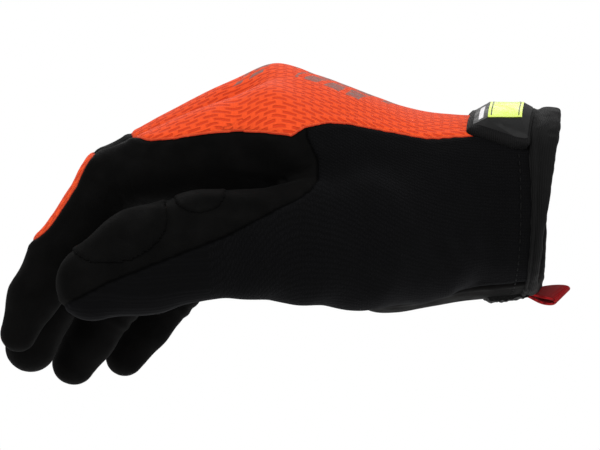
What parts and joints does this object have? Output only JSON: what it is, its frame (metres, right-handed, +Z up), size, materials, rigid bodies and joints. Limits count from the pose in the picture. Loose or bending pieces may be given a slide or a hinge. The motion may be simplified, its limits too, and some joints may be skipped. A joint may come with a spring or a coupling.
{
  "type": "work glove",
  "caption": "Right-hand work glove in its worn shape: mesh back, leather palm and fingers, knit wrist, peel-off wrist strap and pull loop.",
  "frame": {"origin": "centre of the cuff opening", "axes": "+X out of the cuff along the arm, +Y towards the little finger, +Z up from the back of the hand"},
  "size_m": [0.1871, 0.1097, 0.1089],
  "materials": {
    "orange_mesh": "air mesh, high-visibility orange",
    "black_knit": "fine black spacer knit",
    "black_leather": "matt black synthetic leather",
    "elastic_binding": "rolled elastic binding",
    "strap_webbing": "black woven strap",
    "hook_and_loop": "black hook and loop",
    "tab_rubber": "moulded dark grey rubber",
    "insert_plastic": "yellow-green soft plastic",
    "red_webbing": "red woven tape",
    "label_cloth": "bare dark red label"
  },
  "bodies": {
    "hand": {"back_panel": "orange_mesh", "palm_panel": "black_leather", "finger_webs": "black_leather", "thumb_knit_panel": "black_knit", "thumb_leather_panel": "black_leather", "little_side_panel": "black_knit", "index_sleeve": "black_leather", "middle_sleeve": "black_leather", "ring_sleeve": "black_leather", "little_sleeve": "black_leather", "cuff_binding": "elastic_binding", "cuff_hem": "black_knit", "care_label": "label_cloth", "loop_patch": "hook_and_loop", "strap_sewn_end": "strap_webbing", "loop_anchor": "elastic_binding"},
    "index": {"index_knuckle": "black_leather", "index_back": "orange_mesh", "index_front": "black_leather", "index_tip_cap": "black_leather"},
    "middle": {"middle_knuckle": "black_leather", "middle_back": "orange_mesh", "middle_front": "black_leather", "middle_tip_cap": "black_leather"},
    "ring": {"ring_knuckle": "black_leather", "ring_back": "orange_mesh", "ring_front": "black_leather", "ring_tip_cap": "black_leather"},
    "little": {"little_knuckle": "black_leather", "little_back": "orange_mesh", "little_front": "black_leather", "little_tip_cap": "black_leather"},
    "thumb": {"thumb_knuckle": "black_leather", "thumb_back": "black_knit", "thumb_front": "black_leather", "thumb_patch": "black_leather"},
    "strap": {"strap_webbing": "strap_webbing", "hook_patch": "hook_and_loop", "tab_rubber": "tab_rubber", "tab_insert": "insert_plastic"},
    "loop": {"pull_loop": "red_webbing"}
  },
  "joints": [
    {"name": "index_bend", "type": "hinge", "parent": "hand", "child": "index", "pos_m": [-0.14094, -0.0318, 0.01011], "axis": [0, -1, 0], "range_deg": [-35, 45], "deforming": ["index_knuckle"]},
    {"name": "middle_bend", "type": "hinge", "parent": "hand", "child": "middle", "pos_m": [-0.14184, -0.0106, 0.01368], "axis": [0, -1, 0], "range_deg": [-31, 48], "deforming": ["middle_knuckle"]},
    {"name": "ring_bend", "type": "hinge", "parent": "hand", "child": "ring", "pos_m": [-0.12669, 0.0106, -0.00593], "axis": [0, -1, 0], "range_deg": [-8, 70], "deforming": ["ring_knuckle"]},
    {"name": "little_bend", "type": "hinge", "parent": "hand", "child": "little", "pos_m": [-0.11228, 0.0318, -0.00775], "axis": [0, -1, 0], "range_deg": [-5, 72], "deforming": ["little_knuckle"]},
    {"name": "thumb_bend", "type": "hinge", "parent": "hand", "child": "thumb", "pos_m": [-0.121, -0.0554, -0.015], "axis": [0, 1, 0], "range_deg": [-15, 45], "deforming": ["thumb_knuckle"]},
    {"name": "strap_peel", "type": "hinge", "parent": "hand", "child": "strap", "pos_m": [-0.01705, 0.03099, 0.01789], "axis": [-1, 0, 0], "range_deg": [0, 100]},
    {"name": "loop_swing", "type": "hinge", "parent": "hand", "child": "loop", "pos_m": [-0.011, 0, -0.031], "axis": [0, 1, 0], "range_deg": [0, 75], "stiffness_Nm_per_rad": 0.004}
  ]
}
